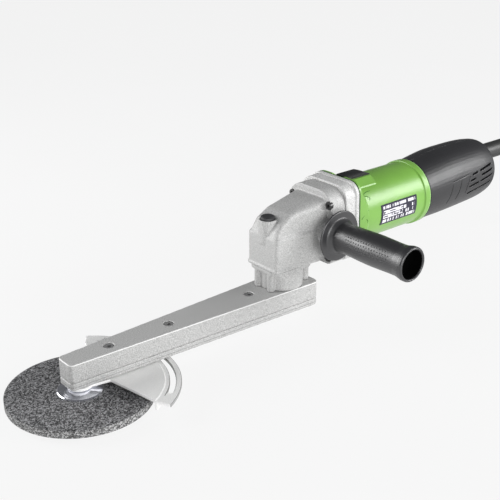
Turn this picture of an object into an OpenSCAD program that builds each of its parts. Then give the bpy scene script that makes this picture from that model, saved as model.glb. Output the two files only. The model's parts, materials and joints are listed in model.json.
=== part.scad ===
// Fillet weld grinder with a belt driven wheel arm. Millimetres, +Z up, +X from the wheel towards the cord.
// The origin is on the wheel's axis, on the underside of its clamping nut.

/* [Wheel] */
// Diameter of the grinding wheel
wheel_d = 150; // [125:1:152]
// Thickness of the grinding wheel
wheel_t = 7.5; // [4:0.5:8]
// Radius of the wheel's bore, which the spindle's lower end fills
arbor_r = 7; // [6:0.5:8]
// Diameter of the polished flange over the wheel
flange_d = 46.5; // [40:0.5:50]
// Height of the domed flange
flange_h = 4.3; // [4:0.1:5]
// Thickness of the clamping nut under the wheel
nut_t = 4.5; // [4:0.5:6]
// Diameter of the clamping nut
nut_d = 40; // [34:1:46]

/* [Arm] */
// Distance from the wheel's axis to the head's spindle axis
axis_gap = 270; // [262:1:280]
// How far the arm's nose reaches past the wheel's axis
nose_reach = 16; // [15:0.5:18]
// How far the arm's rear end reaches past the spindle's axis
rear_reach = 37; // [34:1:42]
// Half width of the arm at the wheel's axis
nose_half_w = 13.3; // [13.1:0.1:14]
// Half width of the arm at the spindle's axis
rear_half_w = 25; // [24.5:0.1:27]
// Height of the arm's upper housing
arm_upper_h = 21; // [21:0.5:24]
// Height of the arm's lower cover
arm_lower_h = 8; // [8:0.5:10]
// Wall of the arm's housing and cover
arm_wall = 2.5; // [2:0.1:2.6]
// Diameter of the three screws that hold the lower cover
arm_screw_d = 6; // [5:0.5:6]

/* [Guard] */
// Distance from the wheel's rim to the outer face of the guard's skirt
guard_air = 11; // [9:0.5:14]
// Width of the flat between the guard's skirt and its arc slot
guard_land_w = 4; // [2:0.5:6]
// Width of the guard's arc slot
guard_slot_w = 6; // [6:0.1:7]
// Width of the guard's rim outside the slot
guard_rim_w = 6; // [4:0.5:8]
// Thickness of the guard's plate
guard_t = 3; // [2:0.5:3.5]
// Depth of the guard's skirt under its plate
guard_skirt_h = 9; // [6:0.5:10]
// Half of the angle that the guard covers
guard_half_angle = 59; // [55:1:65]
// Angle at which the guard is set
guard_angle = -4; // [-10:1:10]

/* [Head] */
// Height of the motor's axis over the underside of the nut
motor_z = 113.4; // [113:0.1:115]
// Height of the round collar between arm and head
collar_h = 21; // [21:0.5:23]
// Outer radius of the collar
collar_r = 25.5; // [24.5:0.1:26]
// Thickness of the collar's top plate
collar_plate_t = 5; // [4:0.5:6]
// Half width of the head
head_half_w = 25; // [25:0.1:27]
// How far the head reaches in front of the spindle's axis
head_front = 29; // [28.5:0.1:31]
// Diameter of the spindle lock button
button_d = 16; // [14:0.5:17]
// Travel of the spindle lock button
button_travel = 2.2; // [1.6:0.1:2.4]

/* [Motor] */
// Outer radius of the motor housing
motor_r = 39; // [38.5:0.1:40]
// Length of the motor housing
motor_l = 126; // [124:1:134]
// Wall of the motor housing
motor_wall = 2.6; // [2:0.1:2.8]
// Outer radius of the stator
stator_r = 33.5; // [32:0.1:33.6]
// Outer radius of the armature core
core_r = 21; // [19:0.1:21.2]
// Travel of the slide switch
switch_travel = 6; // [4:0.5:7]

/* [Handles] */
// Length of the rear handle
rear_handle_l = 136; // [132:1:144]
// Wall of the rear handle
rear_wall = 2.6; // [2:0.1:3]
// Radius of the side handle's flange
grip_flange_r = 29.5; // [26:0.5:33]
// Radius of the side handle's grip
grip_r = 18.3; // [17.5:0.1:19]
// Length of the side handle
grip_l = 118; // [110:1:125]
// Radius of the side handle's end ring
grip_ring_r = 19.6; // [19.4:0.1:21]

/* [Cord] */
// Diameter of the power cord
cord_d = 8; // [7.5:0.1:8.4]

/* [Hidden] */

$fn = 64;

// Clearances
seat_gap = 0.02;      // a ring in its seat, or a wheel on its shaft
run_gap = 0.05;       // a shaft that turns in a ring
free_gap = 0.3;       // moving pieces that pass each other
overshoot = 1;        // how far a cutter runs past the face that it cuts

// Guard radii, from the skirt outwards
guard_skirt_r = wheel_d/2 + guard_air;
guard_slot_r = guard_skirt_r + guard_land_w + guard_slot_w/2;
guard_r = guard_slot_r + guard_slot_w/2 + guard_rim_w;

// Heights, from the nut upwards
wheel_z = nut_t;
flange_z = wheel_z + wheel_t;
flange_top = flange_z + flange_h;
guard_z = flange_top + 0.7;
arm_z = guard_z + guard_t + 1;
seam_z = arm_z + arm_lower_h;
arm_top = seam_z + arm_upper_h;
collar_plate_z = arm_top + collar_h;
head_z = collar_plate_z + collar_plate_t;

// Gears: a spur pair in the case and a face gear with its pinion in the head
spur_module = 1;
spur_pinion_teeth = 9;
spur_gear_teeth = 29;
spur_gap = spur_module*(spur_pinion_teeth + spur_gear_teeth)/2;
lay_z = motor_z - spur_gap;
face_module = 0.9;
face_pinion_teeth = 9;
face_gear_teeth = 36;
face_pinion_r = face_module*face_pinion_teeth/2;
face_gear_r = face_module*face_gear_teeth/2;
face_add = 0.75;
face_ded = 1.15;
face_pitch_z = lay_z - face_pinion_r;
face_in = face_gear_r - 1.4;
face_out = face_gear_r + 1.2;

// Bevel wheel
rim_t = 4;
rim_r = 21.4;
rim_top = face_pitch_z - face_ded - 3.2;
notch_r = 2.9;
notch_count = 6;

// Belt and pulleys
belt_pitch = 3;
drive_teeth = 36;
driven_teeth = 18;
pitch_drop = 0.38;
drive_r = drive_teeth*belt_pitch/(2*PI) - pitch_drop;
driven_r = driven_teeth*belt_pitch/(2*PI) - pitch_drop;
belt_t = 2;
belt_w = 9;
pulley_w = 11;
pulley_z = seam_z + 1;
belt_z = pulley_z + (pulley_w - belt_w)/2;

// Bearings: [bore radius, outer radius, width]
small_ring = [5, 9.5, 5];
main_ring = [6, 16, 10];
top_ring = [4, 11, 7];
lay_front_ring = [4, 11, 7];
lay_rear_ring = [4, 8, 5];
motor_front_ring = [6, 14, 8];
motor_rear_ring = [3.5, 9.5, 6];

lower_ring_z = arm_z + 2;
upper_ring_z = arm_top - 8;
main_ring_z = collar_plate_z - 11;
boss_r = 12;
shaft_hole_r = 7.2;

// Places along the machine
head_x = axis_gap - head_front;
head_rear = axis_gap + 44;
case_x = head_rear + 22;
housing_x = case_x + 20;
housing_end = housing_x + motor_l;
handle_end = housing_end + rear_handle_l;
inner_r = motor_r - motor_wall;

crown_r = rim_r + 0.8;
crown_top = lay_z + 9.6;
top_ring_z = crown_top + 2;
top_ring_cap = top_ring_z + top_ring[2];
lay_front_x = axis_gap + 30;
lay_rear_x = case_x + 2;
spur_x = head_rear + 6;
spur_w = 10;
spur_cavity_x = head_rear + 2;
spur_cavity_r = spur_module*(spur_gear_teeth/2 + 1) + 2;
pinion_cavity_r = 8;
motor_front_x = lay_rear_x + 6.5;
motor_rear_x = housing_end - 10;
face_pinion_x = axis_gap + face_in + 0.1;
face_pinion_w = face_out - face_in - 0.3;

// Flanges between head and motor: [half width, height above the motor's axis, depth below it, upper corners]
head_flange = [motor_r - 3.5, motor_r + 4.5, motor_r + 4, 22];
case_flange = [motor_r - 2.5, motor_r + 7, motor_r + 4.5, 17];
front_flange = [motor_r - 1, motor_r + 8.5, motor_r + 5, 16];
flange_lower_r = 8;

// Head
head_corner = 4.5;
head_spread = 4;
head_lip = 1.2;
head_lip_h = 3;
shoulder_z = head_z + 42;

// Lock button
lock_bite = 1.3;      // how much deeper the pin goes where a notch stands under it
button_x = axis_gap - 20.6;
button_r = button_d/2;
boss_top = motor_z + 20.1;
button_top = boss_top + button_travel + lock_bite;
button_bottom = boss_top - 3.5;
button_recess = button_bottom - button_travel - lock_bite - 0.5;
pin_r = 2.4;
pin_tip = rim_top + button_travel + 0.1;
spring_in = 2.9;
spring_out = 4.3;
spring_seat = button_recess - 7;

// Screws that hold the head to the case, as [y, z from the motor's axis]
case_screw_r = 2.5;
case_screw_places = [[-30, 28], [30, 28], [-31, -35], [31, -35]];
collar_screw_x = [-24.6, 27.5];
collar_screw_y = 10.7;
collar_screw_r = 2.5;
collar_boss_r = 4.6;
arm_screw_places = [36, 110.5, 221.5];
arm_screw_r = arm_screw_d/2;
arm_screw_head_r = arm_screw_d*0.86;
arm_screw_head_h = 5;
guard_screw_r = 2.5;

// Side handle
grip_x = head_rear;
grip_z = motor_z - 2.4;
handle_boss_r = 14;
handle_boss_y = 38;
stud_r = 4;
stud_in = 20;
stud_out = 34;
grip_start = handle_boss_y + 0.2;
grip_mouth_r = 17.2;
grip_mouth_depth = 14;

// Armature
shaft_r = 6;
fan_x = housing_x + 8;
fan_w = 11;
fan_r = 30;
baffle_x = fan_x + fan_w + 2;
core_x = housing_x + 40;
core_l = 46;
stator_bore = core_r + 0.7;
comm_x = core_x + core_l + 10;
comm_r = 12;
comm_l = 15;
brush_w = 8;
brush_l = 14;

// Slide switch on its pad
tunnel_front = [
    [head_x + 1, 20, 1, 5], [head_x + 4.5, 22, 9.5, 6], [head_x + 10, 22.5, 17.5, 7],
    [axis_gap - 4, 22, 26.3, 7], [axis_gap + 6, 22, 28.6, 7]];
tunnel_rear = [[axis_gap + 5.9, 22, 28.6, 7], [axis_gap + 29, 24, 32.8, 9], [head_rear + 1, 29, 35, 11]];
pad_x = housing_x;
pad_l = 50;
pad_half_w = 21;
pad_top = motor_z + motor_r + 2.5;
knob_x = housing_x + 7.5;
knob_l = 39.5;
knob_half_w = 9;
knob_h = 6.6;
knob_crown_r = 12.5;
stem_half_w = 3;
rod_low = stator_r + 0.7;
rod_t = 1.4;
rod_end = housing_end + 34;

// Rear handle, as [distance from its front, lift of its centre, radius]
handle_sections = [
    [0, 0, 38.6], [16, 1, 39.8], [50, 3.4, 41.6], [92, 4.6, 41], [114, 4.9, 39.9], [126, 5.1, 38.3],
    [132, 5.3, 37.1], [135, 5.4, 36], [136, 5.5, 34.5]];
handle_stretch = rear_handle_l/136;
boot_z = motor_z + 19.8;
boot_x = handle_end - 24;
boot_r = 11;
boot_l = 114;
boot_sleeve_r = 14;
cord_r = cord_d/2;
clamp_back = 24;
clamp_w = 10;
clamp_top = cord_r + 2.6;
board_drop = 28;
// Slots for the cooling air in both sides, as [start, end, height at 80 mm], which rise towards the rear
vents = [
    [82.5, 94, 13.2], [99, 125.5, 13.2], [78.5, 90, 6.4], [102, 127.5, 6.4], [76, 96.5, -1], [99.5, 128, -1],
    [76, 126.5, -10.2]];
vent_slope = 7.4;
vent_w = 2.4;
// Moulded lines on the handle's sides, as points [distance from its front, height over the motor's axis]
handle_lines = [
    [[43.2, 9.3], [36.3, -15.6]], [[59.6, 11], [52.6, -13.7]], [[77.5, 13.6], [72.1, 2.3], [69.6, -8.4]],
    [[41.5, 12.1], [74.7, 15.5]]];
groove_w = 1;
groove_depth = 0.6;
handle_steps = 3;
handle_sides = 60;
handle_screw_places = [[11, 24], [11, -24], [rear_handle_l - 66, 24], [rear_handle_l - 24, -22]];

// Cord: where it leaves its boot, its route and its coil, which lies behind the object
cord_exit_x = boot_x + boot_l;
coil_pitch = cord_d + 0.8;
coil_loops = 4;
coil_layers = 2;
coil_in = 30.5;
coil_out = coil_in + coil_pitch*coil_loops;
coil_centre = [848.5, -44];
tie_t = 0.8;
tie_gap = 0.4;
coil_low = cord_r + tie_t + tie_gap;
coil_high = coil_low + coil_pitch;
coil_x = coil_centre[0] - coil_out;
route_down = [
    [cord_exit_x, 0, boot_z], [cord_exit_x + 9, 0, boot_z], [729, 0, 130], [740, 0, 123], [749, 0, 112],
    [755, 0, 99], [759, 0, 85], [761, -1, 70], [763, -2, 55], [765, -4, 40], [768, -7, 27],
    [774, -12, 16], [780, -19, 9], [coil_x, coil_centre[1] + 2*cord_d, coil_low],
    [coil_x, coil_centre[1] + cord_d, coil_low]];
route_tail = [
    [coil_x, coil_centre[1] - cord_d, coil_high], [coil_x, -62, coil_high], [781, -74, 13], [778, -87, 12],
    [775, -100, 12], [773, -112, 13], [772, -122, 13], [772, -130, 13]];
plug_at = route_tail[len(route_tail) - 1];
plug_pin_r = 2.4;
plug_pin_gap = 19;
plug_pin_l = 19;
plug_root_r = 1.8;
plug_face = 46;

// Facts of the drawing
ring_sides = 8;
tooth_steps = 3;

// Plain helpers

// Turns a drawing's height into +X, its x into +Y and its y into +Z
module along_x(x = 0, z = 0) translate([x, 0, z]) rotate([90, 0, 90]) children();

module tube(r_out, r_in, h) difference() {
    cylinder(r = r_out, h = h);
    translate([0, 0, -overshoot]) cylinder(r = r_in, h = h + 2*overshoot);
}

// A bearing: two rings and the cage between them
module bearing(ring) {
    third = (ring[1] - ring[0])/3;
    tube(ring[0] + third, ring[0] + run_gap, ring[2]);
    tube(ring[1] - seat_gap, ring[1] - third, ring[2]);
    translate([0, 0, ring[2]*0.15]) tube(ring[1] - third, ring[0] + third, ring[2]*0.7);
}

module rounded_plan(w, h, r) {
    square([w, h - 2*r], center = true);
    square([w - 2*r, h], center = true);
    for (sx = [-1, 1], sy = [-1, 1]) translate([sx*(w/2 - r), sy*(h/2 - r)]) circle(r);
}

// A flange's outline with large upper corners and small lower ones, which stand a little wider
module flange_plan(f) hull() for (s = [-1, 1]) {
    translate([s*(f[0] - f[3]), f[1] - f[3]]) circle(f[3]);
    translate([s*(f[0] + 2.5 - flange_lower_r), flange_lower_r - f[2]]) circle(flange_lower_r);
}

module socket_screw(r, l, head_r, head_h) {
    translate([0, 0, -l]) cylinder(r = r, h = l);
    difference() {
        cylinder(r = head_r, h = head_h);
        translate([0, 0, head_h*0.45]) cylinder(r = r*0.9, h = head_h, $fn = 6);
    }
}

// Involute gear outline with a tooth on +X, thinned by its backlash
function involute(base, t) = let (a = t*180/PI) [base*(cos(a) + t*sin(a)), base*(sin(a) - t*cos(a))];
function polar(p) = [norm(p), atan2(p[1], p[0])];
function flank_angle(base, r) = let (t = sqrt(max(0, (r/base)*(r/base) - 1))) polar(involute(base, t))[1];
function gear_points(teeth, m, add, ded, slack) =
    let (pitch_r = m*teeth/2, base = pitch_r*cos(20), root = pitch_r - ded, tip = pitch_r + add,
         half = 90/teeth - slack*90/(PI*pitch_r) + flank_angle(base, pitch_r),
         low = max(root + 0.05, base))
    [for (i = [0 : teeth - 1]) let (c = i*360/teeth)
        each concat(
            [root*[cos(c - half - 1), sin(c - half - 1)]],
            [for (k = [0 : tooth_steps])
                let (r = low + (tip - low)*k/tooth_steps, a = c - half + flank_angle(base, r))
                r*[cos(a), sin(a)]],
            [for (k = [tooth_steps : -1 : 0])
                let (r = low + (tip - low)*k/tooth_steps, a = c + half - flank_angle(base, r))
                r*[cos(a), sin(a)]],
            [root*[cos(c + half + 1), sin(c + half + 1)]])];

// Arm plan: straight sides that spread towards the rear, with round corners
taper = (rear_half_w - nose_half_w)/axis_gap;
taper_angle = atan(taper);
nose_corner = 5;
rear_corner = 8;
function side_y(x, inset) = nose_half_w + taper*x - inset/cos(taper_angle);
corner_steps = 8;
function arc(centre, r, from, to) = [for (i = [0 : corner_steps]) let (t = from + (to - from)*i/corner_steps)
    centre + r*[cos(t), sin(t)]];
module arm_plan(inset) {
    nose_r = max(nose_corner - inset, 1);
    rear_r = max(rear_corner - inset, 1);
    nose_x = -nose_reach + inset + nose_r;
    rear_x = axis_gap + rear_reach - inset - rear_r;
    half = concat(
        arc([nose_x, side_y(nose_x, inset + nose_r)], nose_r, 180, 90 + taper_angle),
        arc([rear_x, side_y(rear_x, inset + rear_r)], rear_r, 90 + taper_angle, 0));
    polygon(concat(half, [for (i = [len(half) - 1 : -1 : 0]) [half[i][0], -half[i][1]]]));
}

// Outline of a belt round both pulleys: an arc on each, joined by straight runs
belt_steps = 24;
module belt_plan(r1, r2) {
    a = 90 + asin((r2 - r1)/axis_gap);
    polygon(concat(
        [for (i = [0 : belt_steps]) let (t = a + (360 - 2*a)*i/belt_steps) r1*[cos(t), sin(t)]],
        [for (i = [0 : belt_steps]) let (t = -a + 2*a*i/belt_steps) [axis_gap + r2*cos(t), r2*sin(t)]]));
}

module pulley(tip_r, teeth, bore) {
    pitch = 360/teeth;
    linear_extrude(pulley_w) difference() {
        circle(tip_r);
        for (i = [0 : teeth - 1]) rotate(i*pitch) translate([tip_r, 0]) square([1.8, 1.5], center = true);
        circle(bore + seat_gap);
    }
}

// Wheel end of the arm

module arm_upper_housing() color("silver") difference() {
    union() {
        difference() {
            translate([0, 0, seam_z]) linear_extrude(arm_upper_h) arm_plan(0);
            translate([0, 0, seam_z - overshoot])
                linear_extrude(arm_upper_h - 3 + overshoot) arm_plan(arm_wall);
        }
        intersection() {
            translate([0, 0, upper_ring_z - 1]) cylinder(r = boss_r, h = arm_top - upper_ring_z);
            translate([0, 0, seam_z]) linear_extrude(arm_upper_h) arm_plan(1);
        }
        for (x = arm_screw_places) translate([x, 0, seam_z]) cylinder(r = 7, h = arm_upper_h - 1);
    }
    translate([0, 0, upper_ring_z - 2]) cylinder(r = small_ring[1], h = small_ring[2] + 2);
    for (x = arm_screw_places) {
        translate([x, 0, seam_z - overshoot])
            cylinder(r = arm_screw_r + seat_gap, h = arm_upper_h + 2*overshoot);
        translate([x, 0, arm_top - arm_screw_head_h - 1])
            cylinder(r = arm_screw_head_r + 0.3, h = arm_screw_head_h + 2);
    }
    translate([axis_gap, 0, arm_top - 5]) cylinder(r = main_ring[1] - 2, h = 10);
    for (sx = collar_screw_x, sy = [-1, 1])
        translate([axis_gap + sx, sy*collar_screw_y, arm_top - 5])
            cylinder(r = collar_screw_r + seat_gap, h = 10);
}

module arm_lower_cover() color("silver") difference() {
    union() {
        difference() {
            translate([0, 0, arm_z]) linear_extrude(arm_lower_h) arm_plan(0);
            translate([0, 0, arm_z + 3]) linear_extrude(arm_lower_h) arm_plan(arm_wall);
        }
        for (x = [0, axis_gap]) intersection() {
            translate([x, 0, arm_z + 1]) cylinder(r = boss_r, h = arm_lower_h - 1);
            translate([0, 0, arm_z]) linear_extrude(arm_lower_h) arm_plan(1);
        }
        translate([0, 0, guard_z - 0.2]) cylinder(r = 9.2, h = arm_z - guard_z + 1);
        for (x = concat(arm_screw_places, [guard_slot_r])) translate([x, 0, arm_z + 1])
            cylinder(r = 6, h = arm_lower_h - 1);
        translate([guard_slot_r, 0, guard_z + guard_t]) cylinder(r = 6, h = arm_z - guard_z - guard_t + 1);
    }
    for (x = [0, axis_gap]) translate([x, 0, lower_ring_z]) cylinder(r = small_ring[1], h = 20);
    translate([0, 0, guard_z - overshoot]) cylinder(r = 6.4, h = 20);
    for (x = arm_screw_places) translate([x, 0, arm_z + 2]) cylinder(r = arm_screw_r + seat_gap, h = 20);
    translate([guard_slot_r, 0, arm_z - 5]) cylinder(r = guard_screw_r + seat_gap, h = 11);
}

module arm_screws() color("dimgray") for (x = arm_screw_places)
    translate([x, 0, arm_top - arm_screw_head_h - 1])
        socket_screw(arm_screw_r, arm_top - arm_z - arm_screw_head_h - 4, arm_screw_head_r, arm_screw_head_h);

module guard_clamp_screw() color("dimgray") {
    washer_z = guard_z - 1 - 1.2;
    difference() {
        union() {
            translate([guard_slot_r, 0, washer_z]) cylinder(r = 6, h = 1.2);
            translate([guard_slot_r, 0, washer_z - 4]) cylinder(r = 4.5, h = 4);
            translate([guard_slot_r, 0, washer_z]) cylinder(r = guard_screw_r, h = arm_z - washer_z + 5);
        }
        translate([guard_slot_r, 0, washer_z - 5]) cylinder(r = 2.4, h = 3, $fn = 6);
    }
}

module wheel_spindle() color("lightgray") {
    cylinder(r = arbor_r, h = flange_top);
    translate([0, 0, flange_top - 1])
        cylinder(r = small_ring[0], h = upper_ring_z + small_ring[2] - flange_top + 1);
}

module driven_pulley() color("gray") translate([0, 0, pulley_z])
    pulley(driven_r, driven_teeth, small_ring[0]);

module wheel_flange() color("gainsboro") rotate_extrude() polygon([
    [arbor_r + seat_gap, flange_z], [flange_d/2 - 0.4, flange_z], [flange_d/2, flange_z + 0.5],
    [flange_d/2, flange_z + 1.3], [flange_d/2 - 0.8, flange_z + 2], [flange_d/2 - 4, flange_z + 2.4],
    [15, flange_z + 3.2], [12, flange_z + flange_h*0.93], [10.5, flange_top],
    [arbor_r + seat_gap, flange_top]]);

module grinding_wheel() color("dimgray") translate([0, 0, wheel_z])
    tube(wheel_d/2, arbor_r + seat_gap, wheel_t);

module wheel_nut() color("gray") difference() {
    tube(nut_d/2, arbor_r + seat_gap, nut_t);
    for (a = [0, 180]) rotate(a) translate([nut_d*0.375, 0, -overshoot]) cylinder(r = 2.5, h = nut_t);
}

// The guard's sides as a polygon: straight from the hub to the corner, then outwards
guard_step_r = guard_skirt_r - 2;
guard_far = 2*guard_r;
guard_slot_half = guard_half_angle - 13;
function on_ray(r, a) = r*[cos(a), sin(a)];
module guard_sector() {
    half = [
        [8, 10], [28, 12.5], on_ray(guard_step_r, guard_half_angle), on_ray(1.2*guard_r, guard_half_angle),
        [guard_far, 1.2*guard_r*sin(guard_half_angle)]];
    polygon(concat(half, [for (i = [len(half) - 1 : -1 : 0]) [half[i][0], -half[i][1]]]));
}
module wedge(a) polygon([[0, 0], on_ray(guard_far, -a), [guard_far, 0], on_ray(guard_far, a)]);
module ring_plan(r_out, r_in) difference() {
    circle(r_out);
    circle(r_in);
}
module guard_slot() {
    intersection() {
        ring_plan(guard_slot_r + guard_slot_w/2, guard_slot_r - guard_slot_w/2);
        wedge(guard_slot_half);
    }
    for (s = [-1, 1]) rotate(s*guard_slot_half) translate([guard_slot_r, 0]) circle(guard_slot_w/2);
}

module guard() color("lightgray") rotate(guard_angle) {
    translate([0, 0, guard_z]) linear_extrude(guard_t) difference() {
        union() {
            circle(12.8);
            intersection() {
                circle(guard_step_r + 1);
                guard_sector();
            }
        }
        circle(9.3);
    }
    translate([0, 0, guard_z - 1]) linear_extrude(guard_t + 0.2) difference() {
        intersection() {
            ring_plan(guard_r, guard_step_r);
            guard_sector();
        }
        guard_slot();
    }
    translate([0, 0, guard_z - guard_skirt_h]) linear_extrude(guard_skirt_h) intersection() {
        ring_plan(guard_skirt_r, guard_skirt_r - 2.6);
        wedge(guard_half_angle - 1);
    }
}

module drive_belt() color("#222222") translate([0, 0, belt_z]) linear_extrude(belt_w) difference() {
    belt_plan(driven_r + free_gap + belt_t, drive_r + free_gap + belt_t);
    belt_plan(driven_r + free_gap, drive_r + free_gap);
}

module wheel_bearings() color("lightsteelblue") for (z = [lower_ring_z, upper_ring_z])
    translate([0, 0, z]) bearing(small_ring);

// Head

module collar() color("silver") difference() {
    union() {
        translate([axis_gap, 0, arm_top]) cylinder(r = collar_r, h = collar_h);
        for (sx = collar_screw_x, sy = [-1, 1])
            translate([axis_gap + sx, sy*collar_screw_y, arm_top])
                cylinder(r = collar_boss_r, h = collar_h);
        translate([axis_gap, 0, collar_plate_z]) linear_extrude(collar_plate_t)
            rounded_plan(2*head_front, 2*head_half_w, 11);
    }
    translate([axis_gap, 0, arm_top - overshoot]) cylinder(r = main_ring[1] - 2, h = 30);
    translate([axis_gap, 0, main_ring_z]) cylinder(r = main_ring[1], h = 30);
    for (sx = collar_screw_x, sy = [-1, 1])
        translate([axis_gap + sx, sy*collar_screw_y, arm_top - overshoot])
            cylinder(r = collar_screw_r + seat_gap, h = 40);
}

module collar_screws() color("#222222") for (sx = collar_screw_x, sy = [-1, 1])
    translate([axis_gap + sx, sy*collar_screw_y, arm_top - 3]) mirror([0, 0, 1])
        socket_screw(collar_screw_r, head_z - arm_top + 11, collar_screw_r*1.7, 3.2);

// The head's plan: round front corners, and sides that spread towards the rear flange
module head_plan(inset) {
    half = concat(
        arc([head_x + head_corner, head_half_w - head_corner], head_corner - inset, 180, 90),
        [[axis_gap + 12, head_half_w - inset], [head_rear + 1, head_half_w + head_spread - inset]]);
    polygon(concat(half, [for (i = [len(half) - 1 : -1 : 0]) [half[i][0], -half[i][1]]]));
}

// A slice across the tunnel that runs over the head to the motor, as [x, half width, height over the motor's
// axis, corner]
module tunnel_slice(s) along_x(s[0], motor_z) linear_extrude(0.01) for (side = [-1, 1]) {
    translate([side*(s[1] - s[3]), s[2] - s[3]]) circle(s[3], $fn = 32);
    translate([side*(s[1] + 1.5 - s[3]), -18]) circle(s[3], $fn = 32);
}

module head_solid() {
    translate([0, 0, head_z]) linear_extrude(head_lip_h) head_plan(-head_lip);
    hull() {
        translate([0, 0, head_z]) linear_extrude(shoulder_z - head_z - 3.5) head_plan(0);
        translate([0, 0, shoulder_z - 0.01]) linear_extrude(0.01) head_plan(3);
    }
    hull() for (s = tunnel_front) tunnel_slice(s);
    hull() for (s = tunnel_rear) tunnel_slice(s);
    translate([button_x, 0, motor_z - 8]) cylinder(r = button_r + 2.4, h = boss_top - motor_z + 8);
    along_x(head_rear, motor_z) linear_extrude(case_x - head_rear) flange_plan(head_flange);
    for (s = [-1, 1]) translate([grip_x, s*handle_boss_y, grip_z]) rotate([s*90, 0, 0])
        cylinder(r = handle_boss_r, h = 16);
}

module gear_head() color("silver") difference() {
    head_solid();
    translate([axis_gap, 0, head_z - overshoot]) cylinder(r = crown_r, h = crown_top - head_z + overshoot);
    translate([axis_gap, 0, crown_top - overshoot])
        cylinder(r = top_ring[1], h = top_ring_cap - crown_top + overshoot);
    along_x(axis_gap + 10, lay_z) cylinder(r = 5.6, h = 40);
    along_x(lay_front_x, lay_z) cylinder(r = lay_front_ring[1], h = 30);
    along_x(spur_cavity_x, lay_z) cylinder(r = spur_cavity_r, h = 30);
    along_x(spur_cavity_x, motor_z) cylinder(r = pinion_cavity_r, h = 30);
    translate([button_x, 0, button_recess]) cylinder(r = button_r + 0.25, h = 30);
    translate([button_x, 0, spring_seat]) cylinder(r = spring_out + 0.4, h = 20);
    translate([button_x, 0, pin_tip - 6]) cylinder(r = pin_r + run_gap, h = 60);
    for (s = [-1, 1]) translate([grip_x, s*(handle_boss_y + overshoot), grip_z]) rotate([s*90, 0, 0])
        cylinder(r = stud_r, h = stud_in + overshoot);
    for (p = case_screw_places) along_x(head_rear - 10, motor_z) translate([p[0], p[1], 0]) {
        cylinder(r = case_screw_r + seat_gap, h = 60);
        cylinder(r = case_screw_r*1.9, h = 13.5);
    }
    for (sx = collar_screw_x, sy = [-1, 1])
        translate([axis_gap + sx, sy*collar_screw_y, head_z - overshoot])
            cylinder(r = collar_screw_r + seat_gap, h = 9.2 + overshoot);
}

module gear_case() color("silver") difference() {
    union() {
        along_x(case_x, motor_z) linear_extrude(housing_x - case_x - 5) flange_plan(case_flange);
        along_x(housing_x - 5, motor_z) linear_extrude(5) flange_plan(front_flange);
    }
    along_x(case_x - overshoot, lay_z) cylinder(r = 6.5, h = 2 + overshoot);
    along_x(lay_rear_x, lay_z) cylinder(r = lay_rear_ring[1], h = lay_rear_ring[2]);
    along_x(case_x - overshoot, motor_z) cylinder(r = shaft_hole_r, h = 40);
    along_x(motor_front_x, motor_z) cylinder(r = motor_front_ring[1], h = 40);
    along_x(housing_x - 3, motor_z) cylinder(r = fan_r + 2, h = 10);
    for (p = case_screw_places) along_x(case_x - overshoot, motor_z) translate([p[0], p[1], 0])
        cylinder(r = case_screw_r + seat_gap, h = 12);
}

module gear_case_screws() color("#222222") for (p = case_screw_places)
    along_x(head_rear + 3.5, motor_z) translate([p[0], p[1], 0]) mirror([0, 0, 1])
        socket_screw(case_screw_r, case_x - head_rear + 6, case_screw_r*1.75, 4);

module drive_spindle() color("lightgray") translate([axis_gap, 0, 0]) {
    translate([0, 0, lower_ring_z]) cylinder(r = small_ring[0], h = pulley_z - lower_ring_z);
    translate([0, 0, pulley_z]) cylinder(r = main_ring[0], h = rim_top - pulley_z + 1);
    translate([0, 0, rim_top]) cylinder(r = top_ring[0], h = top_ring_cap - rim_top - 0.5);
}

module drive_pulley() color("gray") translate([axis_gap, 0, pulley_z])
    pulley(drive_r, drive_teeth, main_ring[0]);

module bevel_wheel() color("darkgray") translate([axis_gap, 0, 0]) difference() {
    union() {
        translate([0, 0, rim_top - rim_t]) cylinder(r = rim_r, h = rim_t);
        translate([0, 0, rim_top - 8]) cylinder(r = 10, h = 8);
        translate([0, 0, rim_top - 1]) tube(face_out, face_in - 0.6, face_pitch_z - face_ded - rim_top + 1);
        for (i = [0 : face_gear_teeth - 1]) rotate((i + 0.5)*360/face_gear_teeth)
            translate([face_in, 0, face_pitch_z]) rotate([90, 0, 90]) linear_extrude(face_out - face_in)
                polygon([
                    [-0.95, -face_ded - 0.2], [0.95, -face_ded - 0.2], [0.24, face_add], [-0.24, face_add]]);
    }
    translate([0, 0, rim_top - 9]) cylinder(r = main_ring[0] + seat_gap, h = 20);
    for (i = [0 : notch_count - 1]) rotate(180 + i*360/notch_count)
        translate([axis_gap - button_x, 0, rim_top - rim_t - overshoot])
            cylinder(r = notch_r, h = rim_t + 1.9);
}

module bevel_pinion_shaft() color("darkgray") {
    along_x(face_pinion_x, lay_z) rotate(-90) linear_extrude(face_pinion_w)
        polygon(gear_points(face_pinion_teeth, face_module, face_add, face_ded, 0.5));
    along_x(face_pinion_x + 0.1, lay_z) cylinder(r = face_pinion_r - face_ded - 0.05, h = 8);
    along_x(face_pinion_x + face_pinion_w + 3, lay_z) cylinder(
        r = lay_front_ring[0], h = lay_rear_x + lay_rear_ring[2] - face_pinion_x - face_pinion_w - 3);
}

module spur_gear() color("darkgray") along_x(spur_x, lay_z) linear_extrude(spur_w) difference() {
    rotate(90 + 180/spur_gear_teeth)
        polygon(gear_points(spur_gear_teeth, spur_module, 0.8, 1.2, 0.4));
    circle(lay_front_ring[0] + seat_gap);
}

module spindle_bearings() color("lightsteelblue") translate([axis_gap, 0, 0]) {
    translate([0, 0, lower_ring_z]) bearing(small_ring);
    translate([0, 0, main_ring_z]) bearing(main_ring);
    translate([0, 0, top_ring_z]) bearing(top_ring);
}

module pinion_bearings() color("lightsteelblue") {
    along_x(lay_front_x, lay_z) bearing(lay_front_ring);
    along_x(lay_rear_x, lay_z) bearing(lay_rear_ring);
}

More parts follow.
